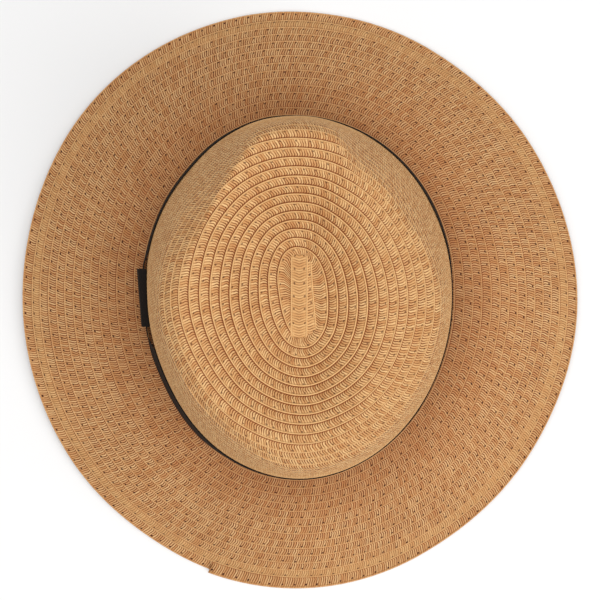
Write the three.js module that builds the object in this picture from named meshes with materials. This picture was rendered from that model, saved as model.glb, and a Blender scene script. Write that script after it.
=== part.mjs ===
// Sewn straw braid hat with a teardrop crown, a sloping brim and a ribbon band.
// Millimetres, +Z up, +Y to the front of the hat, the brim's edge resting on z = 0.
import * as THREE from "three";

// Driving sizes
const OVAL_CORE = 15; // half-length of the straight core that makes every round an oval
const HEAD_RADIUS = 84; // mean reach of the crown's foot beyond the core
const CROWN_HEIGHT = 113; // from the crown's foot to its highest ridge, at the front
const DISH_HEIGHT = 91; // from the crown's foot to the middle of the dished top
const STRIP_HALF_WIDTH = 4; // half-width of the straight length of braid that the crown starts from
const BRIM_RADIUS = 155; // mean reach of the brim's edge beyond the core
const BRIM_DROP = 35; // fall of the brim from the crown to its front and back
const SIDE_LIFT = 7; // how far the brim's sides stay above the table
const EDGE_LIP = 3; // level rim that the hat rests on
const END_STEP = 2.2; // jump of the edge where the last round of braid ends
const STRAW = 2; // wall of the lapped braid
const RIBBON_WIDTH = 30;
const RIBBON = 0.8; // thickness of the ribbon
const BAND_SLACK = 2.4; // the furthest that the band stands off the crown
const KEEPER_LENGTH = 31;
const KEEPER_FORWARD = 1.6; // how far forward of the left side the keeper's middle is
const KEEPER_WALL = 0.9;
const GAP = 0.3; // clear space between pieces

// Angles in degrees
const REST_HALF_ANGLE = 15; // half-angle of the edge that lies level at the front and the back
const END_STEP_TURN = 249; // where the last round ends
const END_STEP_FADE = 50; // turn over which its jump dies out
const KEEPER_TURN = 180;
const KEEPER_RAMP = 5; // turn over which the band comes out to run through the keeper

// Early fall of the brim as a share of an even slope, and how its sides rise from the level edge
const END_FALL_SHARE = 0.92;
const SIDE_FALL_SHARE = 0.71;
const SIDE_RISE_POWER = 1.3;

// Mesh counts
const COLUMNS = 64;
const DISH_ROWS = 8;
const SHOULDER_ROWS = 8;
const WALL_ROWS = 7;
const BRIM_ROWS = 10;
const RIBBON_ROWS = 3;
const KEEPER_STATIONS = 8;

// The crown round the hat, turning from the right (0) by the front (90) to the left (180). foot,
// shoulder and ridge are reaches as shares of HEAD_RADIUS, low and high are the heights of shoulder
// and ridge as shares of CROWN_HEIGHT. inner and outer are the slopes on the two sides of the ridge,
// fall that over the shoulder and wall that at the top of the wall, in degrees below level, and lean
// is how far the wall is from upright at its foot.
const CROWN_COLUMNS = [
  "turn", "foot", "shoulder", "ridge", "low", "high", "inner", "outer", "fall", "wall", "lean",
];
const CROWN_ROWS = [
  [0, 0.994, 0.839, 0.485, 0.775, 0.88, 0, 5, 42, 71, 5],
  [18, 1.01, 0.79, 0.5, 0.8, 0.885, 0, 6, 48, 69, 2],
  [38, 1.02, 0.735, 0.53, 0.825, 0.9, 0, 10, 58, 66, 1],
  [60, 1.02, 0.745, 0.63, 0.875, 0.95, 0, 22, 64, 67, 2],
  [78, 1.021, 0.845, 0.785, 0.935, 0.99, 0, 18, 60, 76, 5],
  [90, 1.024, 0.86, 0.79, 0.935, 1, 0, 12, 56, 76, 5],
  [106, 1.045, 0.86, 0.79, 0.915, 0.99, 0, 20, 58, 77, 5],
  [120, 1.045, 0.81, 0.72, 0.835, 0.975, -8, 40, 60, 74, 2],
  [135, 1.036, 0.79, 0.67, 0.78, 0.965, -12, 46, 60, 70, 1],
  [150, 1.04, 0.815, 0.65, 0.785, 0.95, -10, 36, 58, 71, 2],
  [165, 1.031, 0.824, 0.67, 0.83, 0.945, 0, 16, 52, 73, 3],
  [180, 1.004, 0.826, 0.693, 0.86, 0.945, 0, 8, 48, 73, 5],
  [210, 0.983, 0.781, 0.675, 0.865, 0.94, 0, 8, 48, 73, 5],
  [240, 0.99, 0.765, 0.67, 0.86, 0.935, 0, 8, 48, 73, 4],
  [270, 0.986, 0.814, 0.655, 0.83, 0.93, 0, 8, 48, 73, 5],
  [300, 0.974, 0.817, 0.61, 0.81, 0.915, 0, 6, 45, 72, 5],
  [330, 0.981, 0.821, 0.505, 0.775, 0.885, 0, 5, 42, 71, 5],
];

// The brim's edge without its end step, as shares of BRIM_RADIUS
const EDGE_COLUMNS = ["turn", "reach"];
const EDGE_ROWS = [
  [0, 1.0245],
  [30, 1.0045],
  [60, 0.977],
  [80, 0.975],
  [105, 0.99],
  [150, 1.028],
  [180, 1.025],
  [210, 1.0045],
  [240, 0.971],
  [270, 0.965],
  [300, 0.968],
  [330, 0.9955],
];

// How far the band stands off the crown, as shares of BAND_SLACK
const SLACK_COLUMNS = ["turn", "stand"];
const SLACK_ROWS = [
  [0, 0],
  [150, 0],
  [164, 0.4],
  [188, 0.6],
  [195, 1],
  [205, 0.8],
  [222, 0.7],
  [232, 0.5],
  [243, 0.05],
  [255, 0],
];

const radians = THREE.MathUtils.degToRad;
const lerp = THREE.MathUtils.lerp;
const smoothstep = THREE.MathUtils.smoothstep;

// A table read round the full turn: each column as a smooth curve without overshoot
function turnTable(columns, rows) {
  const count = rows.length;
  const turnOf = (i) => rows[((i % count) + count) % count][0] + 360 * Math.floor(i / count);
  const valueOf = (i, column) => rows[((i % count) + count) % count][column];
  const rise = (i, column) => (valueOf(i + 1, column) - valueOf(i, column)) / (turnOf(i + 1) - turnOf(i));
  const slope = (i, column) => {
    const before = rise(i - 1, column);
    const after = rise(i, column);
    return before * after > 0 ? (2 * before * after) / (before + after) : 0;
  };
  return (turn) => {
    const wrapped = ((turn % 360) + 360) % 360;
    let i = count - 1;
    while (i > 0 && turnOf(i) > wrapped) i -= 1;
    const span = turnOf(i + 1) - turnOf(i);
    const t = (wrapped - turnOf(i)) / span;
    const row = {};
    columns.forEach((name, column) => {
      row[name] = hermite(
        valueOf(i, column), valueOf(i + 1, column),
        slope(i, column) * span, slope(i + 1, column) * span, t,
      );
    });
    return row;
  };
}

function hermite(from, to, startPull, endPull, t) {
  const t2 = t * t;
  const t3 = t2 * t;
  return (2 * t3 - 3 * t2 + 1) * from + (t3 - 2 * t2 + t) * startPull
    + (3 * t2 - 2 * t3) * to + (t3 - t2) * endPull;
}

const crownRow = turnTable(CROWN_COLUMNS, CROWN_ROWS);
const edgeRow = turnTable(EDGE_COLUMNS, EDGE_ROWS);
const slackRow = turnTable(SLACK_COLUMNS, SLACK_ROWS);

// A point of the oval that runs `reach` beyond the core
function ovalPoint(turn, reach, height) {
  const angle = radians(turn);
  return new THREE.Vector3(reach * Math.cos(angle), (OVAL_CORE + reach) * Math.sin(angle), height);
}

// One span of a profile, leaving and arriving at slopes given in degrees below level
function spanPoint(from, to, startFall, endFall, t) {
  const pull = Math.hypot(to.reach - from.reach, to.height - from.height);
  const startAngle = radians(startFall);
  const endAngle = radians(endFall);
  return {
    reach: hermite(from.reach, to.reach, pull * Math.cos(startAngle), pull * Math.cos(endAngle), t),
    height: hermite(from.height, to.height, -pull * Math.sin(startAngle), -pull * Math.sin(endAngle), t),
  };
}

const JOINT_HEIGHT = BRIM_DROP + STRAW;
const FOOT_HEIGHT = JOINT_HEIGHT + GAP;

// The crown's outer profile at a turn: 0 to 1 across the dish, 1 to 2 over the shoulder, 2 to 3
// down the wall
function crownProfile(turn, along) {
  const row = crownRow(turn);
  const strip = { reach: STRIP_HALF_WIDTH, height: FOOT_HEIGHT + DISH_HEIGHT };
  const ridge = { reach: row.ridge * HEAD_RADIUS, height: FOOT_HEIGHT + row.high * CROWN_HEIGHT };
  const shoulder = { reach: row.shoulder * HEAD_RADIUS, height: FOOT_HEIGHT + row.low * CROWN_HEIGHT };
  const foot = { reach: row.foot * HEAD_RADIUS, height: FOOT_HEIGHT };
  if (along <= 1) return spanPoint(strip, ridge, 0, row.inner, along);
  if (along <= 2) return spanPoint(ridge, shoulder, row.outer, row.fall, along - 1);
  return spanPoint(shoulder, foot, row.wall, 90 - row.lean, along - 2);
}

function crownPoint(turn, along) {
  const { reach, height } = crownProfile(turn, along);
  return ovalPoint(turn, reach, height);
}

// The outward normal of the crown, from small steps either way
function crownNormal(turn, along) {
  const step = 0.02;
  const alongStep = crownPoint(turn, Math.min(along + step, 3)).sub(crownPoint(turn, Math.max(along - step, 0)));
  const turnStep = crownPoint(turn + 1, along).sub(crownPoint(turn - 1, along));
  return alongStep.cross(turnStep).normalize();
}

// How far the crown's wall reaches at a height above its foot
function wallReach(turn, height) {
  let upper = 2;
  let lower = 3;
  for (let i = 0; i < 30; i += 1) {
    const middle = (upper + lower) / 2;
    if (crownProfile(turn, middle).height > height) upper = middle;
    else lower = middle;
  }
  return crownProfile(turn, lower).reach;
}

// The brim's edge with the jump where the last round of braid ends
function edgeReach(turn) {
  const past = (((turn - END_STEP_TURN) % 360) + 360) % 360;
  const jump = past < END_STEP_FADE ? END_STEP * (1 - past / END_STEP_FADE) : 0;
  return edgeRow(turn).reach * BRIM_RADIUS + jump;
}

// 0 where the edge lies level at the front and back, 1 at the sides
function sideShare(turn) {
  const level = Math.sin(radians(REST_HALF_ANGLE));
  const sideways = Math.abs(Math.cos(radians(turn)));
  return Math.max(0, (sideways - level) / (1 - level)) ** SIDE_RISE_POWER;
}

// Height of the brim's upper face at a share of the way from the crown's foot to the lip
function brimHeight(turn, share) {
  const side = sideShare(turn);
  const early = lerp(END_FALL_SHARE, SIDE_FALL_SHARE, side);
  const drop = BRIM_DROP - SIDE_LIFT * side;
  return JOINT_HEIGHT - drop * (early * share + (1 - early) * share * share);
}

// Closed body through rings of points: a chain that ends in two caps, or one that meets itself
function body(rings, meetsItself) {
  const count = rings[0].length;
  const positions = rings.flat().flatMap((point) => point.toArray());
  const indices = [];
  const last = meetsItself ? rings.length : rings.length - 1;
  for (let i = 0; i < last; i += 1) {
    const here = i * count;
    const next = ((i + 1) % rings.length) * count;
    for (let j = 0; j < count; j += 1) {
      const k = (j + 1) % count;
      indices.push(here + j, next + j, next + k);
      indices.push(here + j, next + k, here + k);
    }
  }
  if (!meetsItself) {
    indices.push(...stripCap(count, 0));
    indices.push(...stripCap(count, (rings.length - 1) * count).reverse());
  }
  const geometry = new THREE.BufferGeometry();
  geometry.setAttribute("position", new THREE.Float32BufferAttribute(positions, 3));
  geometry.setIndex(volumeOf(positions, indices) < 0 ? indices.reverse() : indices);
  geometry.computeVertexNormals();
  return geometry;
}

// Triangles that close an oval ring straight across, from its right half to its left half
function stripCap(count, start) {
  const indices = [];
  const at = (j) => start + ((j + count) % count);
  const across = (j) => at(count / 2 - j);
  for (let j = -count / 4; j < count / 4; j += 1) {
    if (at(j + 1) !== across(j + 1)) indices.push(at(j), at(j + 1), across(j + 1));
    if (at(j) !== across(j)) {
      const far = at(j + 1) === across(j + 1) ? at(j + 1) : across(j + 1);
      indices.push(at(j), far, across(j));
    }
  }
  return indices;
}

function volumeOf(positions, indices) {
  const corner = (n) => new THREE.Vector3().fromArray(positions, 3 * indices[n]);
  let volume = 0;
  for (let n = 0; n < indices.length; n += 3) {
    volume += corner(n).dot(corner(n + 1).cross(corner(n + 2))) / 6;
  }
  return volume;
}

const EVEN_TURNS = Array.from({ length: COLUMNS }, (_, j) => (360 * j) / COLUMNS);

// Values that divide a span evenly, with both ends
function steps(from, to, count) {
  return Array.from({ length: count + 1 }, (_, i) => lerp(from, to, i / count));
}

// The crown: a shell, open below, with a dished teardrop top and two pinches at the front
function makeCrown() {
  const alongs = [
    ...steps(0, 1, DISH_ROWS),
    ...steps(1, 2, SHOULDER_ROWS).slice(1),
    ...steps(2, 3, WALL_ROWS).slice(1),
  ];
  const outside = alongs.map((along) => EVEN_TURNS.map((turn) => crownPoint(turn, along)));
  const inside = alongs.map((along) => EVEN_TURNS.map((turn) => {
    const point = crownPoint(turn, along).addScaledVector(crownNormal(turn, along), -STRAW);
    if (along === 3) point.z = FOOT_HEIGHT;
    return point;
  }));
  return body([...outside, ...inside.reverse()], false);
}

// The brim: a sheet that runs under the crown's foot, falls away all round and ends in a level lip
function makeBrim() {
  const beside = 0.4;
  const turns = EVEN_TURNS.filter((turn) => Math.abs(turn - END_STEP_TURN) > 180 / COLUMNS);
  turns.push(END_STEP_TURN - beside, END_STEP_TURN + beside);
  turns.sort((a, b) => a - b);
  const shares = steps(0, 1, BRIM_ROWS);
  const footReach = (turn) => crownRow(turn).foot * HEAD_RADIUS;
  const slopeStep = 0.01;
  const upper = [turns.map((turn) => ovalPoint(turn, footReach(turn) - STRAW, JOINT_HEIGHT))];
  const lower = [turns.map((turn) => ovalPoint(turn, footReach(turn) - STRAW, JOINT_HEIGHT - STRAW))];
  shares.forEach((share) => {
    const rows = turns.map((turn) => {
      const inner = footReach(turn);
      const lip = edgeReach(turn) - EDGE_LIP;
      const fall = brimHeight(turn, share) - brimHeight(turn, share + slopeStep);
      const slope = share === 0 || share === 1 ? 0 : fall / (slopeStep * (lip - inner));
      const top = ovalPoint(turn, lerp(inner, lip, share), brimHeight(turn, share));
      const bottom = top.clone();
      bottom.z -= STRAW * Math.hypot(1, slope);
      return { top, bottom };
    });
    upper.push(rows.map((row) => row.top));
    lower.push(rows.map((row) => row.bottom));
  });
  upper.push(turns.map((turn) => ovalPoint(turn, edgeReach(turn), brimHeight(turn, 1))));
  lower.push(turns.map((turn) => ovalPoint(turn, edgeReach(turn), brimHeight(turn, 1) - STRAW)));
  return body([...upper, ...lower.reverse()], true);
}

const KEEPER_HOLD = 2 * GAP + KEEPER_WALL; // how far the keeper's inner leg holds the band off
const BAND_FOOT = JOINT_HEIGHT + 2 * GAP + KEEPER_WALL;
const KEEPER_HALF_TURN = THREE.MathUtils.radToDeg(
  Math.asin((KEEPER_LENGTH / 2 + KEEPER_FORWARD) / (OVAL_CORE + HEAD_RADIUS)),
);

// How far the band's inner face stands off the crown's wall
function bandStand(turn) {
  const away = Math.abs(turn - KEEPER_TURN) - KEEPER_HALF_TURN;
  const hold = KEEPER_HOLD * (1 - smoothstep(away, KEEPER_RAMP / 4, KEEPER_RAMP));
  return Math.max(GAP, slackRow(turn).stand * BAND_SLACK, hold);
}

// The band: a ribbon round the foot of the crown, standing off it from the keeper to the back
function makeBand() {
  const heights = steps(BAND_FOOT, BAND_FOOT + RIBBON_WIDTH, RIBBON_ROWS);
  const face = (height, extra) => EVEN_TURNS.map((turn) => (
    ovalPoint(turn, wallReach(turn, height) + bandStand(turn) + extra, height)
  ));
  const outside = heights.map((height) => face(height, RIBBON));
  const inside = heights.map((height) => face(height, 0));
  return body([...inside, ...outside.reverse()], true);
}

// Distance out from the middle to the crown's wall on its left side, at a place along it
function leftWall(forward, height) {
  let turn = KEEPER_TURN;
  for (let i = 0; i < 8; i += 1) {
    const reach = wallReach(turn, height);
    turn = 180 - THREE.MathUtils.radToDeg(Math.asin(forward / (OVAL_CORE + reach)));
  }
  return -wallReach(turn, height) * Math.cos(radians(turn));
}

// The keeper: a sleeve of ribbon whose inner leg follows the crown and whose outer leg is straight
function makeKeeper() {
  const half = KEEPER_LENGTH / 2;
  const forwards = steps(KEEPER_FORWARD - half, KEEPER_FORWARD + half, KEEPER_STATIONS);
  const bottom = BAND_FOOT - GAP - KEEPER_WALL;
  const top = BAND_FOOT + RIBBON_WIDTH + GAP + KEEPER_WALL;
  const heights = steps(bottom, top, RIBBON_ROWS);
  const holeHeights = steps(bottom + KEEPER_WALL, top - KEEPER_WALL, RIBBON_ROWS);
  const bandReach = KEEPER_HOLD + RIBBON + GAP;

  // The straight outer leg is a rule laid against the band from one end of the sleeve to the other
  const ruled = (height) => {
    const first = leftWall(forwards[0], height) + bandReach;
    const last = leftWall(forwards[KEEPER_STATIONS], height) + bandReach;
    const chord = (forward) => lerp(first, last, (forward - forwards[0]) / KEEPER_LENGTH);
    const bulge = Math.max(...forwards.map((forward) => (
      leftWall(forward, height) + bandReach - chord(forward)
    )));
    return (forward) => chord(forward) + bulge;
  };
  const section = (forward, levels, innerExtra, outerExtra) => {
    const inner = levels.map((height) => (
      new THREE.Vector3(-leftWall(forward, height) - GAP - innerExtra, forward, height)
    ));
    const outer = levels.map((height) => (
      new THREE.Vector3(-ruled(height)(forward) - outerExtra, forward, height)
    ));
    return [...inner, ...outer.reverse()];
  };
  const outside = forwards.map((forward) => section(forward, heights, 0, KEEPER_WALL));
  const hole = forwards.map((forward) => section(forward, holeHeights, KEEPER_WALL, 0));
  return body([...outside, ...hole.reverse()], true);
}

const crownStraw = new THREE.MeshStandardMaterial({ color: 0xc9976a, roughness: 0.8, metalness: 0 });
const brimStraw = new THREE.MeshStandardMaterial({ color: 0xbb8b5e, roughness: 0.8, metalness: 0 });
const bandRibbon = new THREE.MeshStandardMaterial({ color: 0x201a16, roughness: 0.85, metalness: 0 });
const keeperRibbon = new THREE.MeshStandardMaterial({ color: 0x26201c, roughness: 0.85, metalness: 0 });

function piece(name, geometry, material) {
  const mesh = new THREE.Mesh(geometry, material);
  mesh.name = name;
  return mesh;
}

const hat = new THREE.Group();
hat.add(piece("crown", makeCrown(), crownStraw));
hat.add(piece("brim", makeBrim(), brimStraw));
hat.add(piece("hat_band", makeBand(), bandRibbon));
hat.add(piece("band_keeper", makeKeeper(), keeperRibbon));

// The origin is under the middle of the hat's outline
const outline = new THREE.Box3().setFromObject(hat).getCenter(new THREE.Vector3());
hat.position.set(-outline.x, -outline.y, 0);

export default hat;
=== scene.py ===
"""Straw braid hat: rounds of sewn straw braid, a ribbon band and its keeper, and a plain stage."""

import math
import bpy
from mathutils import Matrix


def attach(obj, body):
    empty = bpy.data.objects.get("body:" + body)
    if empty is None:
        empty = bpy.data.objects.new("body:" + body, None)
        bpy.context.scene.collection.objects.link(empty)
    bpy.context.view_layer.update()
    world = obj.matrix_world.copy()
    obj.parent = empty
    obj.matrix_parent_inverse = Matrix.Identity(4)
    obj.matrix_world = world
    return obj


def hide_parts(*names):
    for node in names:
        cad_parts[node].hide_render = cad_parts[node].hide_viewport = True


bl_info = {
    "name": "Straw Braid Hat",
    "version": (1, 0, 0),
    "blender": (4, 5, 0),
    "location": "View3D > Sidebar > Straw Hat",
    "description": "Sews the crown and brim of a straw hat from braid and dresses its ribbon",
    "category": "Object",
}

import bmesh
import bpy
import numpy as np
from mathutils import Vector
from mathutils.bvhtree import BVHTree
from bpy.props import (
    FloatProperty,
    FloatVectorProperty,
    IntProperty,
    PointerProperty,
)
from bpy.types import Operator, Panel, PropertyGroup

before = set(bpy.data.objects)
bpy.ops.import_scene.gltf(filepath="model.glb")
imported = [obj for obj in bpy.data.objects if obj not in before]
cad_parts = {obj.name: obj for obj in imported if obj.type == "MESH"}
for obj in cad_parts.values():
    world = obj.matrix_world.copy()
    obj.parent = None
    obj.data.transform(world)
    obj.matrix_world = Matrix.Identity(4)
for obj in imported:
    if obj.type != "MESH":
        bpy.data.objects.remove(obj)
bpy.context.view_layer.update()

MM = 0.001
FULL_TURN = 2 * math.pi
WELD = 0.00001

# The CAD shells' columns and shoulder row, and how finely their curves are read between rows
SHELL_COLUMNS = 64
SHOULDER_ROW = 16
FINE_STEPS = 6

# Columns round the hat that each piece is made in
CROWN_COLUMNS = 216
BRIM_COLUMNS = 300
BAND_COLUMNS = 256

# Height of the point inside the hat that its outer faces look away from
SPINE_HEIGHT = 0.060

# The strip on the crown's top is level, and no further than this from the middle
LEVEL = 0.9999
STRIP_REACH = 0.025

# No point of a braid comes nearer to the oval's core than this
LEAST_REACH = 0.3 * MM

# The brim's edge steps out where the last round ends, and the step dies out over this turn
STEP_FADE = math.radians(50)

# A round's number and the place across it share the second map value, this many millimetres apart
ROUND_PITCH = 16.0
ROUND_OFFSET = 6.0
USUAL_SHOWN = 5.3
MAP_NAME = "sewing"

# Upper face of a braid in mm: distance in from its outer edge, and height over the lap line
BRAID_FACE_ROWS = (
    (0.00, -0.42),
    (0.10, -0.10),
    (0.32, 0.10),
    (0.60, 0.13),
    (0.88, 0.00),
    (1.12, -0.16),
    (1.50, -0.02),
    (2.50, 0.07),
    (3.80, 0.06),
)

# Hidden part of the upper face, past the lap of the next round in, and the edges of the lower face
LAP_TUCK = 0.06 * MM
LAP_SHORT = 0.2 * MM
LAP_BEYOND = 0.35 * MM
UNDER_INNER = 1.0 * MM
UNDER_OUTER = 0.15 * MM

# The wire near the brim's edge swells one round of braid
WIRE_ROLL = 0.5 * MM
WIRE_MIDDLE = 2.2 * MM
WIRE_REACH = 1.1 * MM

# Across the braid in mm: the strands' fold from the inner edge, the stitches from the outer edge
FOLD_PLACE = 4.0
STITCH_PLACE = 1.55

# The corner of a braid's section that its length is measured along
EDGE_POINT = 3

# Least width of a round that shows, and how much further the first round runs under the strips
LEAST_SHOWN = 1.2 * MM
FIRST_ROUND_TUCK = 4.5 * MM

# Waves of a cord in each turn round the hat, and the seeds that they are drawn from
SPIRAL_BEATS = (1.93, 5.07, 9.21, 16.4)
ROUND_BEATS = (2, 5, 9, 16)
CORD_SEED = 1000
BRIM_SEED = 1100

# The two start strips are numbered back from this, so that they are sewn apart from the rounds
STRIP_NUMBER = -4

# How the straw looks on the crown and on the brim: shares of each colour, and widths. Several
# shares set painted shade, shadow and highlight, and the brim's slightly lower tone is painted
# shade for the less light that it gets than the crown
CROWN_LOOK = {
    "tone": 0.94,
    "fade": 0.50,
    "cord_width": 0.80,
    "cord": 0.75,
    "shaded_groove": 0.15,
    "line": 0.92,
    "cord_shadow_width": 0.16,
    "gap": 0.88,
    "strand_highlight": 0.40,
    "red": 0.40,
    "holes": 0.70,
    "warm": 0.10,
    "warm_near": 0.0,
    "warm_rounds": 1.0,
    "shade_near": 0.0,
    "plain_round": -4,
    "last_round": -20,
    "first_round": 1,
}
BRIM_LOOK = {
    "tone": 0.92,
    "fade": 0.72,
    "cord_width": 0.90,
    "cord": 0.24,
    "shaded_groove": 0.10,
    "line": 0.85,
    "cord_shadow_width": 0.15,
    "gap": 1.0,
    "strand_highlight": 0.58,
    "red": 0.52,
    "holes": 1.0,
    "warm": 0.43,
    "warm_near": 0.33,
    "warm_rounds": 9.0,
    "shade_near": 0.04,
    "plain_round": 13,
    "last_round": 14,
    "first_round": -20,
}

# Section of the two short strips on the crown's top: place across in half widths, and height in mm
STRIP_FACE = (
    (-1.0, -0.42), (-0.97, -0.10), (-0.92, 0.06), (-0.85, 0.09), (-0.78, 0.0), (-0.71, -0.06),
    (-0.6, 0.0), (-0.3, 0.06), (0.0, 0.02), (0.3, 0.06), (0.6, 0.0),
    (0.71, -0.06), (0.78, 0.0), (0.85, 0.09), (0.92, 0.06), (0.97, -0.10), (1.0, -0.42),
    (0.96, -0.8), (0.0, -0.85), (-0.96, -0.8),
)

# The two start strips in mm: half-width, half-length, middle, lean to the side, and lift
START_STRIPS = (
    (4.3, 20.6, (-0.39, 1.9), 0.1, 0.14),
    (4.0, 19.4, (2.9, 2.3), -1.5, -0.22),
)
STRIP_ROWS = 81
STRIP_TIP = 1.6 * MM

# The ribbon's face from its top edge to its foot: share of its width, and height in mm
RIBBON_FACE_ROWS = (
    (0.000, -0.25),
    (0.004, -0.06),
    (0.020, 0.00),
    (0.035, -0.02),
    (0.060, -0.07),
    (0.250, -0.07),
    (0.500, -0.07),
    (0.750, -0.07),
    (0.940, -0.07),
    (0.965, -0.02),
    (0.980, 0.00),
    (0.996, -0.06),
    (1.000, -0.25),
)

# Clear space between the ribbon and what it lies against
CLEARANCE = 0.2 * MM

# Half the turn that the keeper covers, and the turn over which the band comes in to the crown
KEEPER_TURN = math.radians(11)
KEEPER_FADE = math.radians(5)

# The keeper's outer wall is thickened, as folded ribbon is: outwards by a share of its distance
# past the first place, and inwards up to the band, but by no more than the last length
KEEPER_PLAIN = -84 * MM
KEEPER_SWELL = 0.33
KEEPER_FILL = 2.0 * MM

# The band is looked for no nearer to its two edges than this
BAND_MARGIN = 1 * MM

# The keeper's edges are rounded where its faces meet at more than this angle
SHARP = math.radians(40)
KEEPER_BEVEL = 0.25 * MM

# Stage, in metres, and the width of the camera's sensor in mm
KEY_PLACE = (0.71, -0.64, 0.95)
OVERHEAD_PLACE = (0.0, 0.0, 1.35)
LAMP_WIDTH = 0.9
FLOOR_HALF = 4.0
SENSOR_WIDTH = 36.0

# The crown is one spiral of braid that sets out at the strip's back left corner and runs clockwise
SPIRAL_START = math.radians(254)

# The first cord is smoothed this often, so that it meets the second without a kink
CORD_SMOOTHING = 24

# The first cord: turn round the hat in degrees, and distance in mm from the level strip
FIRST_CORD_ROWS = (
    (254, -0.2),
    (240, 1.3),
    (228, 2.6),
    (213, 3.8),
    (191, 5.4),
    (180, 6.0),
    (170, 6.9),
    (153, 9.0),
    (126, 10.0),
    (108, 8.6),
    (90, 7.3),
    (70, 8.0),
    (52, 9.1),
    (26, 9.9),
    (0, 10.0),
    (-26, 10.4),
    (-50, 8.2),
    (-70, 5.6),
    (-90, 4.0),
    (-106, 4.7),
)

# Distance in mm from cord to cord on the crown's top, at every 30 degrees round the hat
SPACING_ROWS = (5.1, 4.85, 4.65, 4.7, 4.7, 4.9, 5.2, 4.9, 4.8, 4.9, 4.7, 4.9)


def paint(red, green, blue):
    """A screen colour of 0 to 255 as a linear one."""
    def linear(level):
        share = level / 255
        return share / 12.92 if share <= 0.04045 else ((share + 0.055) / 1.055) ** 2.4
    return (linear(red), linear(green), linear(blue))


def colour(name, description, default):
    """A colour that a user may change."""
    return FloatVectorProperty(
        name=name,
        description=description,
        subtype="COLOR",
        size=3,
        min=0.0,
        max=1.0,
        default=default,
    )


def length(name, description, default):
    """A length that a user may change."""
    return FloatProperty(
        name=name,
        description=description,
        default=default,
        min=0.0,
        unit="LENGTH",
        precision=5,
    )


class StrawBraidSettings(PropertyGroup):
    """Sizes of the straw braid and how it is sewn"""
    width: length("Braid width", "Full width of the braid, laps included", 8.0 * MM)
    thickness: length("Braid thickness", "Thickness of one layer of braid", 0.85 * MM)
    spacing: FloatProperty(
        name="Spacing",
        description="Share of the usual distance from cord to cord on the crown's top",
        default=1.0,
        min=0.5,
    )
    wander: length("Wander", "How far a cord strays from its line", 0.22 * MM)
    crown_rounds: IntProperty(
        name="Crown rounds",
        description="Rounds of braid from the start strip to the crown's foot",
        default=33,
        min=4,
    )
    brim_rounds: FloatProperty(
        name="Brim rounds",
        description="Rounds of braid from the crown's foot to the edge",
        default=14.5,
        min=2.0,
    )
    stitch_pitch: length("Stitch pitch", "From one stitch to the next", 6.9 * MM)
    strand_pitch: length("Strand pitch", "From one strand to the next", 1.32 * MM)


class StrawColourSettings(PropertyGroup):
    """Colours of the straw"""
    # The strand top colour is a painted highlight on the strands' ridges
    top: colour("Strand top", "Where a strand catches the light", paint(244, 210, 156))
    light: colour("Light strand", "The pale strands", paint(228, 180, 119))
    deep: colour("Deep strand", "The darker strands", paint(200, 143, 84))
    russet: colour("Russet strand", "The reddish strands", paint(184, 109, 53))
    # The gap colour is painted shade, between strands and in the groove inside the cord
    gap: colour("Gap", "The dark between two strands", paint(112, 52, 18))
    cord: colour("Cord", "The smooth cord at each round's edge", paint(233, 187, 129))
    line: colour("Line", "The dark line under a cord", paint(132, 66, 26))
    # The line colour is a painted shadow under each cord
    stitch: colour("Stitch hole", "The dark spot at each stitch", paint(80, 36, 14))


class RibbonSettings(PropertyGroup):
    """Sizes and colours of the ribbon"""
    thickness: length("Ribbon thickness", "Thickness of the band's ribbon", 0.5 * MM)
    rib_pitch: length("Rib pitch", "From one rib of the ribbon to the next", 0.55 * MM)
    black: colour("Ribbon", "The ribbon's near black", paint(24, 19, 16))
    # The rib tops colour is a painted sheen on the ribs
    rib_sheen: colour("Rib tops", "The ribs' greyer tops", paint(44, 39, 36))


class StageSettings(PropertyGroup):
    """Floor, lights and camera"""
    floor: colour("Floor", "The plain pale floor", paint(246, 246, 246))
    camera_height: length("Camera height", "Height of the camera over the floor", 0.900)
    focal_share: FloatProperty(
        name="Focal share",
        description="Focal length over the picture's width",
        default=1557 / 600,
        min=0.1,
    )
    key_power: FloatProperty(
        name="Key light",
        description="Power of the soft light from the front right",
        default=5.8,
        min=0.0,
        unit="POWER",
    )
    overhead_power: FloatProperty(
        name="Overhead light",
        description="Power of the soft light straight above",
        default=10.0,
        min=0.0,
        unit="POWER",
    )
    sky: FloatProperty(
        name="Room light",
        description="Strength of the even light of the room",
        default=0.45,
        min=0.0,
    )


class Wire:
    """A value in a material, on which arithmetic adds Math nodes"""

    def __init__(self, finish, socket):
        self.finish = finish
        self.socket = socket

    def __add__(self, other):
        return self.finish.maths("ADD", self, other)

    def __radd__(self, other):
        return self.finish.maths("ADD", other, self)

    def __sub__(self, other):
        return self.finish.maths("SUBTRACT", self, other)

    def __rsub__(self, other):
        return self.finish.maths("SUBTRACT", other, self)

    def __mul__(self, other):
        return self.finish.maths("MULTIPLY", self, other)

    def __rmul__(self, other):
        return self.finish.maths("MULTIPLY", other, self)

    def __truediv__(self, other):
        return self.finish.maths("DIVIDE", self, other)

    def __abs__(self):
        return self.finish.maths("ABSOLUTE", self)

    def __floor__(self):
        return self.finish.maths("FLOOR", self)


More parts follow.
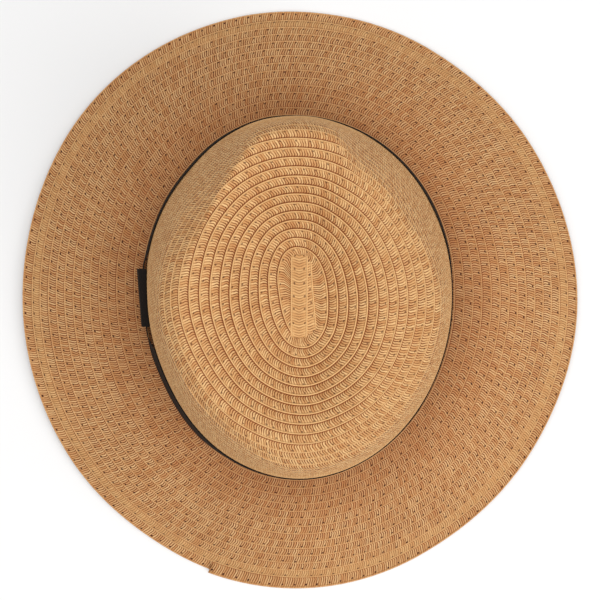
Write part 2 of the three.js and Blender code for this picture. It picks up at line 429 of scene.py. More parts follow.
class Finish:
    """A material while its nodes are laid out"""

    def __init__(self, name):
        self.material = bpy.data.materials.new(name)
        self.material.use_nodes = True
        self.tree = self.material.node_tree
        self.tree.nodes.clear()

    def node(self, kind, settings=None, sockets=None, output=0):
        """Adds a node, gives it its settings, then values or wires to its sockets."""
        made = self.tree.nodes.new(kind)
        for key, value in (settings or {}).items():
            if key == "stops":
                self.stops(made.color_ramp, value)
            else:
                setattr(made, key, value)
        for key, value in (sockets or {}).items():
            if isinstance(value, Wire):
                self.tree.links.new(value.socket, made.inputs[key])
            else:
                made.inputs[key].default_value = value
        return Wire(self, made.outputs[output]) if made.outputs else None

    def stops(self, ramp, stops):
        """Lays a colour ramp's stops."""
        while len(ramp.elements) < len(stops):
            ramp.elements.new(1.0)
        for element, (place, shade) in zip(ramp.elements, stops):
            element.position = place
            element.color = (*shade, 1.0)

    def maths(self, operation, first, second=0.0, third=0.0):
        sockets = {0: first, 1: second, 2: third}
        return self.node("ShaderNodeMath", {"operation": operation}, sockets)

    def smooth(self, value, low, high):
        """0 below low, 1 above high, and smooth between."""
        return self.node(
            "ShaderNodeMapRange",
            {"interpolation_type": "SMOOTHSTEP"},
            {"Value": value, "From Min": low, "From Max": high, "To Min": 0.0, "To Max": 1.0},
        )

    def mix(self, share, first, second):
        """Blends two colours."""
        wired = [self.opaque(first), self.opaque(second)]
        return self.node(
            "ShaderNodeMix",
            {"data_type": "RGBA", "clamp_factor": True},
            {0: share, 6: wired[0], 7: wired[1]},
            output=2,
        )

    def tint(self, shade, factor):
        """Multiplies a colour by a number."""
        return self.node(
            "ShaderNodeVectorMath", {"operation": "SCALE"}, {0: shade, "Scale": factor}
        )

    def opaque(self, shade):
        """A colour as a wire or as four numbers."""
        return shade if isinstance(shade, Wire) else (*shade[:3], 1.0)

    def join(self, first, second, third=0.0):
        """Three numbers as one vector."""
        return self.node("ShaderNodeCombineXYZ", None, {0: first, 1: second, 2: third})

    def split(self, vector):
        """The three numbers of a vector."""
        parts = self.node("ShaderNodeSeparateXYZ", None, {0: vector})
        outputs = parts.socket.node.outputs
        return [Wire(self, outputs[k]) for k in range(3)]

    def noise(self, vector, scale, detail=2.0, roughness=0.5):
        return self.node(
            "ShaderNodeTexNoise",
            {"noise_dimensions": "3D"},
            {"Vector": vector, "Scale": scale, "Detail": detail, "Roughness": roughness},
        )

    def chance(self, vector):
        """Three even random numbers for each whole-numbered place."""
        three = {"noise_dimensions": "3D"}
        return self.split(self.node("ShaderNodeTexWhiteNoise", three, {"Vector": vector}, output=1))

    def bump(self, strength, distance, height):
        """A normal that rises and falls with the height."""
        sockets = {"Strength": strength, "Distance": distance, "Height": height}
        return self.node("ShaderNodeBump", None, sockets)

    def here(self):
        """The place in the object's own coordinates."""
        return self.node("ShaderNodeTexCoord", None, None, output=3)

    def surface(self, uniform, varied):
        """The shader and the material's output."""
        shader = self.node("ShaderNodeBsdfPrincipled", None, {**uniform, **varied})
        self.node("ShaderNodeOutputMaterial", None, {"Surface": shader})
        return self.material


def merged_copy(node):
    """A CAD node's mesh with its loose triangles joined."""
    bm = bmesh.new()
    bm.from_mesh(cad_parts[node].data)
    bmesh.ops.remove_doubles(bm, verts=bm.verts, dist=WELD)
    bm.normal_update()
    return bm


def find_oval():
    """Middle and core of the oval that the hat follows, from the level strip on the crown's top."""
    bm = merged_copy("crown")
    strip = {
        vert
        for face in bm.faces
        if face.normal.z > LEVEL and face.calc_center_median().to_2d().length < STRIP_REACH
        for vert in face.verts
    }
    xs = [vert.co.x for vert in strip]
    ys = [vert.co.y for vert in strip]
    height = max(vert.co.z for vert in strip)
    bm.free()
    middle = ((min(xs) + max(xs)) / 2, (min(ys) + max(ys)) / 2)
    return middle, (max(ys) - min(ys) - max(xs) + min(xs)) / 2, height


oval_middle, oval_core, strip_height = find_oval()


def oval_places(points):
    """Turn and reach of each point about the oval's core."""
    x = points[:, 0] - oval_middle[0]
    y = points[:, 1] - oval_middle[1]
    low = np.full(len(x), 1e-5)
    high = np.full(len(x), 0.5)
    for _ in range(50):
        reach = (low + high) / 2
        outside = (x / reach) ** 2 + (y / (oval_core + reach)) ** 2 > 1
        low = np.where(outside, reach, low)
        high = np.where(outside, high, reach)
    return np.arctan2(y / (oval_core + reach), x / reach) % FULL_TURN, reach


def curve_through(values, places, closed):
    """Values along the first axis, read at fractional places on a smooth curve through them."""
    count = len(values)
    base = np.floor(places).astype(int)
    share = (places - base).reshape((-1,) + (1,) * (values.ndim - 1))

    def at(offset):
        index = base + offset
        return values[index % count if closed else np.clip(index, 0, count - 1)]

    before, start, end, after = at(-1), at(0), at(1), at(2)
    return 0.5 * (
        2 * start
        + (end - before) * share
        + (2 * before - 5 * start + 4 * end - after) * share ** 2
        + (3 * start - before - 3 * end + after) * share ** 3
    )


class Shell:
    """The outer face of a CAD shell, as curves that run out from the middle or down from the top"""

    def __init__(self, node, columns, faces_out, order, soften=0):
        rows = self.read(node, faces_out, order)
        self.turns = np.arange(columns) * FULL_TURN / columns
        across = curve_through(rows, self.turns / FULL_TURN * SHELL_COLUMNS, True)
        count = rows.shape[1]
        fine = np.linspace(0, count - 1, (count - 1) * FINE_STEPS + 1)
        curves = curve_through(across.swapaxes(0, 1), fine, False).swapaxes(0, 1)
        for _ in range(soften):
            curves[:, 1:-1] = (curves[:, :-2] + 2 * curves[:, 1:-1] + curves[:, 2:]) / 4
        self.reach = curves[:, :, 0]
        self.height = curves[:, :, 1]
        run = np.hypot(np.diff(self.reach, axis=1), np.diff(self.height, axis=1))
        self.slant = np.concatenate([np.zeros((columns, 1)), np.cumsum(run, axis=1)], axis=1)
        self.total = self.slant[:, -1]

    def read(self, node, faces_out, order):
        """Reach and height of the face's points, one row of them for each column."""
        bm = merged_copy(node)
        points = np.array([vert.co[:] for vert in bm.verts if faces_out(vert)])
        bm.free()
        turn, reach = oval_places(points)
        table = np.column_stack([turn, reach, points[:, 2]])
        return self.columns(table, order)

    def columns(self, table, order):
        """The points sorted into even columns."""
        index = np.round(table[:, 0] / FULL_TURN * SHELL_COLUMNS).astype(int) % SHELL_COLUMNS
        sorted_columns = []
        for column in range(SHELL_COLUMNS):
            rows = table[index == column][:, 1:]
            sorted_columns.append(rows[np.argsort(order(rows))])
        return np.array(sorted_columns)

    def place(self, picked, slant, lift):
        """Points at slants along the picked columns' curves, raised by a lift."""
        points = np.empty(slant.shape + (3,))
        for k, column in enumerate(picked):
            run = self.slant[column]
            out = np.gradient(self.reach[column], run)
            rise = np.gradient(self.height[column], run)
            s = slant[k]
            over = np.maximum(s - run[-1], 0) + np.minimum(s, 0)
            go = np.interp(s, run, out)
            climb = np.interp(s, run, rise)
            reach = np.interp(s, run, self.reach[column]) + over * go - lift[k] * climb
            reach = np.maximum(reach, LEAST_REACH)
            height = np.interp(s, run, self.height[column]) + over * climb + lift[k] * go
            turn = self.turns[column]
            points[k, :, 0] = oval_middle[0] + reach * np.cos(turn)
            points[k, :, 1] = oval_middle[1] + (oval_core + reach) * np.sin(turn)
            points[k, :, 2] = height
        return points


class BrimShell(Shell):
    """The brim's upper face, with the step in its edge smoothed out and kept apart"""

    def columns(self, table, order):
        table = table[np.argsort(table[:, 0])]
        breaks = np.flatnonzero(np.diff(table[:, 0]) > math.radians(0.2)) + 1
        groups = np.split(table, breaks)
        turns = np.array([group[:, 0].mean() for group in groups])
        rows = np.array([group[np.argsort(order(group[:, 1:]))][:, 1:] for group in groups])
        jumps = np.roll(rows[:, -1, 0], -1) - rows[:, -1, 0]
        gaps = np.roll(turns, -1) - turns
        step = int(np.argmax(np.where(np.abs(gaps) < math.radians(2), jumps, -1)))
        self.step_turn = (turns[step] + turns[step + 1]) / 2
        self.step_size = jumps[step]
        past = (turns - self.step_turn) % FULL_TURN
        extra = self.step_size * np.maximum(0, 1 - past / STEP_FADE)
        share = np.clip((np.arange(rows.shape[1]) - 1) / (rows.shape[1] - 3), 0, 1)
        rows[:, :, 0] -= extra[:, None] * share[None, :]
        even = np.arange(SHELL_COLUMNS) * FULL_TURN / SHELL_COLUMNS
        flat = rows.reshape(len(turns), -1)
        filled = [np.interp(even, turns, values, period=FULL_TURN) for values in flat.T]
        return np.array(filled).T.reshape(SHELL_COLUMNS, rows.shape[1], 2)


def outward(vert):
    """True where a crown or band vertex faces away from the spine of the hat."""
    spine = vert.co.copy()
    spine.z -= SPINE_HEIGHT
    return vert.normal.dot(spine) > 0


def sideways(vert):
    """True where a band vertex faces away from the hat's middle."""
    return vert.normal.x * vert.co.x + vert.normal.y * vert.co.y > 0


def upward(vert):
    """True on the upper face of the brim."""
    return vert.normal.z > 0.05


def by_reach(rows):
    """Orders a column's points from the middle outwards."""
    return rows[:, 0]


def from_top(rows):
    """Orders a column's points from the top down."""
    return -rows[:, 1]


def wander(angle, beats, size, seed):
    """A small wave along the sewing."""
    draw = np.random.default_rng(seed)
    wave = 0
    for beat in beats:
        height = draw.normal() / beat ** 0.5
        wave = wave + height * np.sin(beat * angle + draw.uniform(0, FULL_TURN))
    return size * 0.5 * wave


def braid_section(shell, picked, outer, lap, braid, roll=0.0, tuck=0.0):
    """Points round the section of a braid whose outer edge lies at a slant, for each column."""
    thick = braid.thickness
    lap = lap[:, None]
    level = np.zeros_like(lap)
    full = level + braid.width + tuck
    tucked = level - thick - LAP_TUCK
    face = np.array(BRAID_FACE_ROWS) * MM
    inward = np.repeat(face[None, :, 0], len(picked), axis=0)
    lift = np.repeat(face[None, :, 1], len(picked), axis=0)
    lift = lift - thick * np.minimum(inward / lap, 1.0)
    lift = lift + roll * np.exp(-(((inward - WIRE_MIDDLE) / WIRE_REACH) ** 2))
    upper = [inward, lap - LAP_SHORT, lap + LAP_BEYOND, full]
    lower = [full, lap, level + UNDER_INNER, level + UNDER_OUTER]
    upper_lift = [lift, level - thick, tucked, tucked]
    lower_lift = [tucked - thick, level - 2 * thick, level - 1.2 * thick, level - thick]
    inward = np.concatenate(upper + lower, axis=1)
    lift = np.concatenate(upper_lift + lower_lift, axis=1)
    return shell.place(picked, outer[:, None] - inward, lift), inward


def bend_grid(bm, points, along, across, closed):
    """Bends a flat grid into a strip: points go along it first, then round its section."""
    map_layer = bm.loops.layers.uv.get(MAP_NAME) or bm.loops.layers.uv.new(MAP_NAME)
    count, around = points.shape[:2]
    columns = count if closed else count - 1
    grid = bmesh.ops.create_grid(bm, x_segments=columns, y_segments=around, size=0.5)
    placed = {}
    for vert in grid["verts"]:
        i = round((vert.co.x + 0.5) * columns)
        j = round((vert.co.y + 0.5) * around)
        placed[vert] = (i, j)
    for face in {face for vert in placed for face in vert.link_faces}:
        face.smooth = True
        for loop in face.loops:
            i, j = placed[loop.vert]
            loop[map_layer].uv = (along[i], across[i % count][j])
    for vert, (i, j) in placed.items():
        vert.co = points[i % count, j % around]


def run_along(points, pitch, closed):
    """Millimetres along a row of points, stretched to a whole number of pitches."""
    if closed:
        points = np.concatenate([points, points[:1]])
    steps = np.linalg.norm(np.diff(points, axis=0), axis=1)
    run = np.concatenate([[0], np.cumsum(steps)]) / MM
    pitch = pitch / MM
    return run * (round(run[-1] / pitch) * pitch / run[-1])


def sew_round(bm, shell, picked, outer, lap, braid, number, closed=True, roll=0.0, tuck=0.0):
    """One round of braid, mapped in millimetres as if every round showed the usual width."""
    points, inward = braid_section(shell, picked, outer, lap, braid, roll, tuck)
    usual = inward * (USUAL_SHOWN * MM / lap[:, None])
    across = np.maximum((braid.width - usual) / MM, -ROUND_OFFSET)
    across = across + ROUND_OFFSET + ROUND_PITCH * number
    across = np.concatenate([across, across[:, :1]], axis=1)
    run = run_along(points[:, EDGE_POINT], braid.stitch_pitch, closed)
    bend_grid(bm, points, run, across, closed)


def finish_piece(bm, name, material, slot, *nodes):
    """Closes the mesh, parents the piece to the hat's root body and hides the CAD nodes that it
    stands in for.
    """
    bmesh.ops.remove_doubles(bm, verts=bm.verts, dist=WELD / 4)
    open_edges = [edge for edge in bm.edges if edge.is_boundary]
    if open_edges:
        bmesh.ops.holes_fill(bm, edges=open_edges, sides=0)
    bmesh.ops.recalc_face_normals(bm, faces=bm.faces)
    mesh = bpy.data.meshes.new(name)
    bm.to_mesh(mesh)
    bm.free()
    mesh.materials.append(material)
    piece = bpy.data.objects.new(name, mesh)
    bpy.context.scene.collection.objects.link(piece)
    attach(piece, "root")
    if nodes:
        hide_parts(*nodes)
    return piece


def straw_finish(name, braid, shades, look):
    """Sewn straw: slanted strands, a smooth cord at the edge, and stitch holes beside it."""
    if name in bpy.data.materials:
        return bpy.data.materials[name]
    finish = Finish(name)
    wide = braid.width / MM
    strand_pitch = braid.strand_pitch / MM
    stitch_pitch = braid.stitch_pitch / MM
    mapped = finish.node("ShaderNodeUVMap", {"uv_map": MAP_NAME})
    along, coded, _ = finish.split(mapped)
    number = math.floor(coded / ROUND_PITCH)
    across = coded - number * ROUND_PITCH - ROUND_OFFSET
    here = finish.here()

    # Place on the part that shows: 0 at the lap of the round before, 1 at the outer edge
    shown = (across - (wide - USUAL_SHOWN)) / USUAL_SHOWN

    # Strands slant away from a fold in the middle of the braid
    off_fold = finish.maths("SQRT", (across - FOLD_PLACE) * (across - FOLD_PLACE) + 0.12)
    sway = finish.noise(finish.join(along * 0.32, across * 0.30, number * 7.3), 1.0, 2.0)
    phase = (along + off_fold * 0.38 + sway * 1.1) / strand_pitch
    strand = math.floor(phase)
    part = phase - strand
    ridge = 1 - (part * 2 - 1) * (part * 2 - 1)
    luck, warmth, depth = finish.chance(finish.join(strand, number, 3.0))

    # The strands stand apart more plainly in some stretches, and fade towards the cord: this sets
    # how strong their painted shade, painted highlight and bump are
    patch = finish.noise(finish.join(along * 0.30, across * 0.20, number * 3.7), 1.0, 2.0)
    stretch = finish.smooth(patch, 0.36, 0.60)
    inner = 1 - finish.smooth(shown, 0.45, 0.86)
    plain = (0.70 + 0.30 * stretch) * (look["fade"] + (1 - look["fade"]) * inner)
    cord_start = wide - look["cord_width"]
    cord = finish.smooth(across, cord_start - 0.12, cord_start + 0.12)
    # Painted shade in the groove just inside the cord; the groove also dips the bump
    shaded_groove = 1 - finish.smooth(abs(across - cord_start), 0.05, 0.30)
    # Painted shade in the gaps between strands, none on the cord
    gap = (1 - finish.smooth(ridge, 0.22 + depth * 0.26, 0.84)) * (1 - cord)
    # Painted shadow of the previous round's cord along the inner edge of the part that shows, none
    # on the first round
    cord_shadow = 1 - finish.smooth(abs(shown - 0.01), 0.02, look["cord_shadow_width"])
    cord_shadow = cord_shadow * finish.smooth(abs(number - look["first_round"]), 0.2, 0.4)

    # Stitch holes, each a little off its place
    stitch_phase = along / stitch_pitch + number * 0.37
    stitch = math.floor(stitch_phase)
    shift, drift, size = finish.chance(finish.join(stitch, number, 11.0))
    off_along = (stitch_phase - stitch - 0.5) * stitch_pitch + (shift - 0.5) * 1.6
    off_across = across - (wide - STITCH_PLACE) + (drift - 0.5) * 0.5
    slanted = off_along + off_across * 0.5
    far = finish.maths("SQRT", slanted * slanted * 1.1 + off_across * off_across * 2.2)
    hole = (1 - finish.smooth(far, 0.34 + size * 0.15, 0.66 + size * 0.20)) * look["holes"]

    # Colour of the strands, reddish here and there on the inner part
    thread = finish.noise(finish.join(along * 3.0, across * 0.9, number * 1.9), 1.0, 2.0)
    paleness = finish.smooth(luck * 0.5 + thread * 0.6, 0.28, 0.82)
    body = finish.mix(paleness, shades.deep, shades.light)
    red_stretch = finish.noise(finish.join(along * 0.45, across * 0.35, number * 5.1), 1.0, 2.0)
    red = finish.smooth(red_stretch + (warmth - 0.5) * 0.30, 0.44, 0.70)
    body = finish.mix(red * (0.30 + 0.70 * inner) * look["red"], body, shades.russet)
    near = 1 - finish.smooth(number, 0.0, look["warm_rounds"])
    body = finish.mix(look["warm"] + near * look["warm_near"], body, shades.russet)
    # Painted highlight: each strand's ridge is painted paler with the strand top colour, with less
    # of it on the near rounds
    strand_highlight = finish.smooth(ridge, 0.55, 1.0) * (0.35 + 0.65 * luck) * (0.45 + 0.55 * plain)
    body = finish.mix(strand_highlight * look["strand_highlight"] * (1 - near * 0.4), body, shades.top)
    body = finish.mix(gap * plain * look["gap"], body, shades.gap)
    wire = 1 - finish.smooth(abs(number - look["plain_round"]), 0.2, 1.4)
    pale = finish.mix(0.62, shades.deep, shades.light)
    body = finish.mix(wire * 0.40, body, pale)

    # The cord is twisted, so it comes and goes
    fleck = finish.noise(finish.join(along * 1.3, across * 2.0, number), 1.0, 2.0)
    twist = finish.smooth(fleck, 0.36, 0.66)
    edge_round = 1 - finish.smooth(abs(number - look["last_round"]), 0.2, 0.4)
    corded = finish.mix(twist, shades.cord, pale)
    body = finish.mix(cord * look["cord"] * (1 - edge_round * 0.8), body, corded)
    body = finish.mix(shaded_groove * look["shaded_groove"], body, shades.gap)
    body = finish.mix(cord_shadow * look["line"], body, shades.line)
    body = finish.mix(hole, body, shades.stitch)
    cloud = finish.noise(here, 14.0, 3.0)
    grain = finish.noise(here, 900.0, 2.0)
    # Painted shade: the brim's rounds near the crown's foot are a little darker, fading out over
    # the near rounds
    tone = look["tone"] * (1 - near * look["shade_near"])
    base = finish.tint(body, tone * (0.86 + cloud * 0.20 + grain * 0.10))

    relief = ridge * plain * (1 - cord) + cord * 0.8 - hole * 1.2 - shaded_groove * 0.3
    bump = finish.bump(0.8, 0.35 * MM, relief + grain * 0.15)
    rough = 0.66 - cord * 0.14 + grain * 0.08
    return finish.surface(
        {"Specular IOR Level": 0.30},
        {"Base Color": base, "Roughness": rough, "Normal": bump},
    )


def ribbon_finish(name, ribbon):
    """Ribbed near-black ribbon, its rib tops painted greyer as a painted sheen."""
    if name in bpy.data.materials:
        return bpy.data.materials[name]
    finish = Finish(name)
    mapped = finish.node("ShaderNodeUVMap", {"uv_map": MAP_NAME})
    along, _, _ = finish.split(mapped)
    phase = along / (ribbon.rib_pitch / MM)
    part = phase - math.floor(phase)
    rib = 1 - (part * 2 - 1) * (part * 2 - 1)
    here = finish.here()
    cloud = finish.noise(here, 60.0, 3.0)
    grain = finish.noise(here, 2500.0, 2.0)
    # Painted sheen: the rib tops are greyer, more in some patches
    tops = finish.smooth(rib, 0.4, 1.0) * (0.35 + 0.4 * cloud)
    base = finish.mix(tops, ribbon.black, ribbon.rib_sheen)
    bump = finish.bump(0.7, 0.12 * MM, rib + grain * 0.4)
    rough = 0.75 + grain * 0.15
    return finish.surface(
        {"Specular IOR Level": 0.12},
        {"Base Color": base, "Roughness": rough, "Normal": bump},
    )


def crown_cords(shell, braid):
    """Columns in sewing order, and the slant of every round's cord in each of them."""
    count = len(shell.turns)
    start = round(SPIRAL_START / FULL_TURN * count)
    picked = (start - np.arange(count + 1)) % count
    share = np.linspace(0, 1, count + 1)
    turns = shell.turns[picked]
    spacing = curve_through(np.array(SPACING_ROWS), turns / FULL_TURN * len(SPACING_ROWS), True)
    spacing = spacing * braid.spacing * MM
    table = np.array(FIRST_CORD_ROWS)
    run = (table[0, 0] - table[:, 0]) / 360
    first = np.interp(share, run, table[:, 1]) * MM
    first[-1] = first[0] + spacing[-1]
    for _ in range(CORD_SMOOTHING):
        before = np.concatenate([[first[-2] - spacing[-1]], first[:-1]])
        after = np.concatenate([first[1:], [first[1] + spacing[0]]])
        first = (before + 2 * first + after) / 4
    wall = shell.slant[picked, SHOULDER_ROW * FINE_STEPS]
    total = shell.total[picked]
    at_wall = (wall - first) / spacing + 1
    wall_spacing = (total - wall) / (braid.crown_rounds - share - at_wall)
    numbers = np.arange(braid.crown_rounds + 1)[:, None]
    over_top = first + (numbers - 1) * spacing
    down_wall = wall + (numbers - at_wall) * wall_spacing
    cords = np.where(numbers <= at_wall, over_top, down_wall)
    sewn = numbers + share
    stray = wander(sewn * FULL_TURN, SPIRAL_BEATS, braid.wander, CORD_SEED)
    cords += stray * np.minimum(1, sewn / 3)
    return picked, np.minimum(cords, total)


class HAT_OT_sew_crown(Operator):
    """Sew the crown from rounds of straw braid"""
    bl_idname = "hat.sew_crown"
    bl_label = "Sew Crown"

    def execute(self, context):
        braid = context.scene.hat_braid
        straw = context.scene.hat_straw
        material = straw_finish("crown straw", braid, straw, CROWN_LOOK)
        shell = Shell("crown", CROWN_COLUMNS, outward, by_reach, soften=8)
        picked, cords = crown_cords(shell, braid)
        half = braid.crown_rounds // 2
        spans = {
            "crown_top": range(1, half),
            "crown_side": range(half, braid.crown_rounds + 1),
        }
        for name, span in spans.items():
            bm = bmesh.new()
            for number in span:
                cord = cords[number]
                shown = np.maximum(cord - cords[number - 1], LEAST_SHOWN)
                tuck = FIRST_ROUND_TUCK if number == 1 else 0.0
                sew_round(bm, shell, picked, cord, shown, braid, number, closed=False, tuck=tuck)
            finish_piece(bm, name, material, "crown_straw", "crown")
        return {"FINISHED"}


def lay_strip(bm, half_wide, half_long, middle, lean, lift, number):
    """A short straight strip of braid that may lean to one side."""
    points = np.empty((STRIP_ROWS, len(STRIP_FACE), 3))
    forward = np.linspace(half_long, -half_long, STRIP_ROWS)
    for k, y in enumerate(forward):
        tip = max(0.0, abs(y) - (half_long - STRIP_TIP)) / STRIP_TIP
        narrow = math.sqrt(max(0.05, 1 - tip * tip * 0.5))
        share = y / half_long
        bow = lean * share - 0.25 * lean * share * share
        for j, (side, rise) in enumerate(STRIP_FACE):
            points[k, j] = (
                middle[0] * MM + bow + side * half_wide * narrow,
                middle[1] * MM + y,
                strip_height + lift + (rise - 0.25 * tip) * MM,
            )
    across = FOLD_PLACE + FOLD_PLACE * np.abs(np.array(STRIP_FACE)[:, 0])
    across = across + ROUND_OFFSET + ROUND_PITCH * number
    across = np.tile(np.append(across, across[0]), (STRIP_ROWS, 1))
    bend_grid(bm, points, (forward[0] - forward) / MM, across, closed=False)


class HAT_OT_lay_strips(Operator):
    """Lay the two short strips that the crown's spiral of braid starts from"""
    bl_idname = "hat.lay_strips"
    bl_label = "Lay Start Strips"

    def execute(self, context):
        braid = context.scene.hat_braid
        straw = context.scene.hat_straw
        material = straw_finish("crown straw", braid, straw, CROWN_LOOK)
        bm = bmesh.new()
        for k, (wide, long, middle, lean, lift) in enumerate(START_STRIPS):
            number = STRIP_NUMBER - k
            lay_strip(bm, wide * MM, long * MM, middle, lean * MM, lift * MM, number)
        finish_piece(bm, "start_strips", material, "crown_straw")
        return {"FINISHED"}


class HAT_OT_sew_brim(Operator):
    """Sew the brim from rounds of straw braid, with the last end showing at the edge"""
    bl_idname = "hat.sew_brim"
    bl_label = "Sew Brim"

    def execute(self, context):
        braid = context.scene.hat_braid
        straw = context.scene.hat_straw
        count = math.ceil(braid.brim_rounds)
        wire_round = count - 2
        look = {**BRIM_LOOK, "plain_round": wire_round, "last_round": count - 1}
        material = straw_finish("brim straw", braid, straw, look)
        shell = BrimShell("brim", BRIM_COLUMNS, upward, by_reach)
        picked = np.arange(BRIM_COLUMNS)
        inner = shell.slant[:, FINE_STEPS]
        lap = (shell.total - inner) / braid.brim_rounds
        bm = bmesh.new()
        for number in range(count - 1):
            outer = shell.total - (count - 1 - number) * lap
            outer = outer + wander(shell.turns, ROUND_BEATS, braid.wander, BRIM_SEED + number)
            roll = WIRE_ROLL if number == wire_round else 0.0
            sew_round(bm, shell, picked, outer, lap, braid, number, roll=roll)
        step = math.ceil(shell.step_turn / FULL_TURN * BRIM_COLUMNS)
        around = (step + np.arange(BRIM_COLUMNS + 1)) % BRIM_COLUMNS
        past = np.arange(BRIM_COLUMNS + 1) * FULL_TURN / BRIM_COLUMNS
        extra = shell.step_size * np.maximum(0, 1 - past / STEP_FADE)
        outer = shell.total[around] + extra
        shown = lap[around] + extra
        sew_round(bm, shell, around, outer, shown, braid, count - 1, closed=False)
        finish_piece(bm, "brim_braid", material, "brim_straw", "brim")
        return {"FINISHED"}


class HAT_OT_wrap_band(Operator):
    """Wrap the near-black ribbon round the crown's foot"""
    bl_idname = "hat.wrap_band"
    bl_label = "Wrap Band"

    def execute(self, context):
        ribbon = context.scene.hat_ribbon
        material = ribbon_finish("band ribbon", ribbon)
        shell = Shell("hat_band", BAND_COLUMNS, sideways, from_top)
        crown = Shell("crown", BAND_COLUMNS, outward, by_reach)
        self.lean_in(shell, crown, ribbon.thickness)
        shares, beads = np.array(RIBBON_FACE_ROWS).T
        down = np.concatenate([shares, shares[::-1]])
        lift = np.concatenate([beads * MM, -ribbon.thickness - beads[::-1] * MM])
        slant = shell.total[:, None] * down[None, :]
        lifts = np.repeat(lift[None, :], BAND_COLUMNS, axis=0)
        points = shell.place(np.arange(BAND_COLUMNS), slant, lifts)
        run = run_along(points[:, 0], ribbon.rib_pitch, True)
        across = np.concatenate([slant, slant[:, :1]], axis=1) / MM
        bm = bmesh.new()
        bend_grid(bm, points, run, across, closed=True)
        finish_piece(bm, "ribbon_band", material, "band_ribbon", "hat_band")
        return {"FINISHED"}

    def lean_in(self, shell, crown, thick):
        """Leans the band's top edge against the crown's wall, but for where the keeper holds it."""
        wall = slice(SHOULDER_ROW * FINE_STEPS, None)
        for k in range(BAND_COLUMNS):
            against = np.interp(-shell.height[k, 0], -crown.height[k, wall], crown.reach[k, wall])
            lean = shell.reach[k, 0] - against - thick - CLEARANCE
            off_keeper = abs(shell.turns[k] - math.pi)
            lean *= min(1.0, max(0.0, (off_keeper - KEEPER_TURN) / KEEPER_FADE))
            shell.reach[k] -= lean * np.linspace(1, 0, len(shell.reach[k]))


class HAT_OT_fold_keeper(Operator):
    """Fold the flat sleeve of ribbon that covers the band's join"""
    bl_idname = "hat.fold_keeper"
    bl_label = "Fold Keeper"

    def execute(self, context):
        ribbon = context.scene.hat_ribbon
        material = ribbon_finish("keeper ribbon", ribbon)
        bm = merged_copy("band_keeper")
        self.thicken(context, bm)
        sharp = [edge for edge in bm.edges if edge.calc_face_angle(0.0) > SHARP]
        bmesh.ops.bevel(
            bm,
            geom=sharp,
            offset=KEEPER_BEVEL,
            offset_type="OFFSET",
            affect="EDGES",
            segments=2,
            profile=0.5,
            material=-1,
        )
        map_layer = bm.loops.layers.uv.new(MAP_NAME)
        for face in bm.faces:
            face.smooth = True
            for loop in face.loops:
                loop[map_layer].uv = (loop.vert.co.y / MM, loop.vert.co.z / MM)
        finish_piece(bm, "ribbon_keeper", material, "keeper_ribbon", "band_keeper")
        return {"FINISHED"}

    def thicken(self, context, bm):
        """Thickens the keeper's outer wall outwards, and inwards up to the band."""
        tree = BVHTree.FromBMesh(bm)
        left = Vector((-1.0, 0.0, 0.0))
        right = -left
        outer = []
        facing = []
        for vert in bm.verts:
            covered = tree.ray_cast(vert.co + left * WELD, left)[0] is not None
            opposed = tree.ray_cast(vert.co + right * WELD, right)[0] is not None
            if vert.normal.x < 0 and not covered:
                outer.append(vert)
            elif vert.normal.x > 0 and covered and opposed:
                facing.append(vert)
        band = bpy.data.objects["ribbon_band"]
        band_tree = BVHTree.FromObject(band, context.evaluated_depsgraph_get())
        heights = [vert.co.z for vert in band.data.vertices]
        low = min(heights) + BAND_MARGIN
        high = max(heights) - BAND_MARGIN
        for vert in facing:
            start = Vector((vert.co.x, vert.co.y, min(max(vert.co.z, low), high)))
            distance = band_tree.ray_cast(start, right)[3]
            if distance is not None:
                vert.co.x += min(max(0.0, distance - CLEARANCE), KEEPER_FILL)
        for vert in outer:
            vert.co.x -= max(0.0, KEEPER_PLAIN - vert.co.x) * KEEPER_SWELL


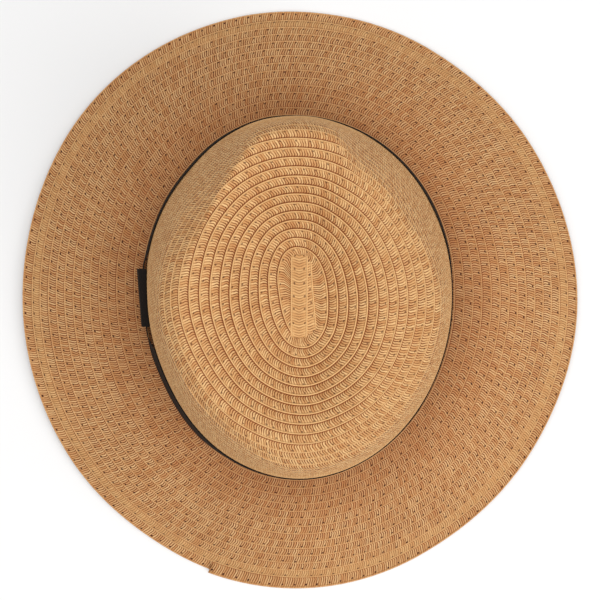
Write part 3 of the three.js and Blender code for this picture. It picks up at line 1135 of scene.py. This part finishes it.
class HAT_OT_set_stage(Operator):
    """Set the floor, the lights and the camera straight above"""
    bl_idname = "hat.set_stage"
    bl_label = "Set Stage"

    def execute(self, context):
        stage = context.scene.hat_stage
        self.lay_floor(context, stage)
        self.light(context, "key", stage.key_power, KEY_PLACE)
        self.light(context, "overhead", stage.overhead_power, OVERHEAD_PLACE)
        world = bpy.data.worlds.new("room")
        world.use_nodes = True
        background = world.node_tree.nodes["Background"]
        background.inputs["Color"].default_value = (1.0, 1.0, 1.0, 1.0)
        background.inputs["Strength"].default_value = stage.sky
        context.scene.world = world
        context.scene.view_settings.view_transform = "Standard"
        self.aim_camera(context, stage)
        return {"FINISHED"}

    def lay_floor(self, context, stage):
        finish = Finish("floor")
        speck = finish.noise(finish.here(), 3.0, 2.0)
        base = finish.mix(speck * 0.1, stage.floor, (0.9, 0.9, 0.9))
        plain = {"Roughness": 0.9, "Specular IOR Level": 0.2}
        material = finish.surface(plain, {"Base Color": base})
        bm = bmesh.new()
        bmesh.ops.create_grid(bm, x_segments=1, y_segments=1, size=FLOOR_HALF)
        mesh = bpy.data.meshes.new("floor")
        bm.to_mesh(mesh)
        bm.free()
        mesh.materials.append(material)
        floor = bpy.data.objects.new("floor", mesh)
        context.scene.collection.objects.link(floor)

    def light(self, context, name, power, place):
        lamp = bpy.data.lights.new(name, "AREA")
        lamp.shape = "DISK"
        lamp.size = LAMP_WIDTH
        lamp.energy = power
        holder = bpy.data.objects.new(name, lamp)
        holder.location = place
        toward = -holder.location
        holder.rotation_euler = toward.to_track_quat("-Z", "Y").to_euler()
        context.scene.collection.objects.link(holder)

    def aim_camera(self, context, stage):
        camera = bpy.data.cameras.new("camera")
        camera.sensor_width = SENSOR_WIDTH
        camera.lens = SENSOR_WIDTH * stage.focal_share
        holder = bpy.data.objects.new("camera", camera)
        holder.location = (0.0, 0.0, stage.camera_height)
        context.scene.collection.objects.link(holder)
        context.scene.camera = holder


class HAT_PT_workbench(Panel):
    """The hat's settings and steps"""
    bl_label = "Straw Hat"
    bl_idname = "HAT_PT_workbench"
    bl_space_type = "VIEW_3D"
    bl_region_type = "UI"
    bl_category = "Straw Hat"

    def draw(self, context):
        layout = self.layout
        for group in (
            context.scene.hat_braid,
            context.scene.hat_straw,
            context.scene.hat_ribbon,
            context.scene.hat_stage,
        ):
            box = layout.box()
            for key in group.__annotations__:
                box.prop(group, key)
        for step in STEPS:
            layout.operator(step.bl_idname)


STEPS = (
    HAT_OT_sew_crown,
    HAT_OT_lay_strips,
    HAT_OT_sew_brim,
    HAT_OT_wrap_band,
    HAT_OT_fold_keeper,
    HAT_OT_set_stage,
)
GROUPS = (StrawBraidSettings, StrawColourSettings, RibbonSettings, StageSettings)


def register():
    for group in GROUPS:
        bpy.utils.register_class(group)
    for step in STEPS:
        bpy.utils.register_class(step)
    bpy.utils.register_class(HAT_PT_workbench)
    bpy.types.Scene.hat_braid = PointerProperty(type=StrawBraidSettings)
    bpy.types.Scene.hat_straw = PointerProperty(type=StrawColourSettings)
    bpy.types.Scene.hat_ribbon = PointerProperty(type=RibbonSettings)
    bpy.types.Scene.hat_stage = PointerProperty(type=StageSettings)


def unregister():
    del bpy.types.Scene.hat_stage
    del bpy.types.Scene.hat_ribbon
    del bpy.types.Scene.hat_straw
    del bpy.types.Scene.hat_braid
    bpy.utils.unregister_class(HAT_PT_workbench)
    for step in reversed(STEPS):
        bpy.utils.unregister_class(step)
    for group in reversed(GROUPS):
        bpy.utils.unregister_class(group)


def main():
    register()
    bpy.ops.hat.sew_crown()
    bpy.ops.hat.lay_strips()
    bpy.ops.hat.sew_brim()
    bpy.ops.hat.wrap_band()
    bpy.ops.hat.fold_keeper()
    bpy.ops.hat.set_stage()


if __name__ == "__main__":
    main()
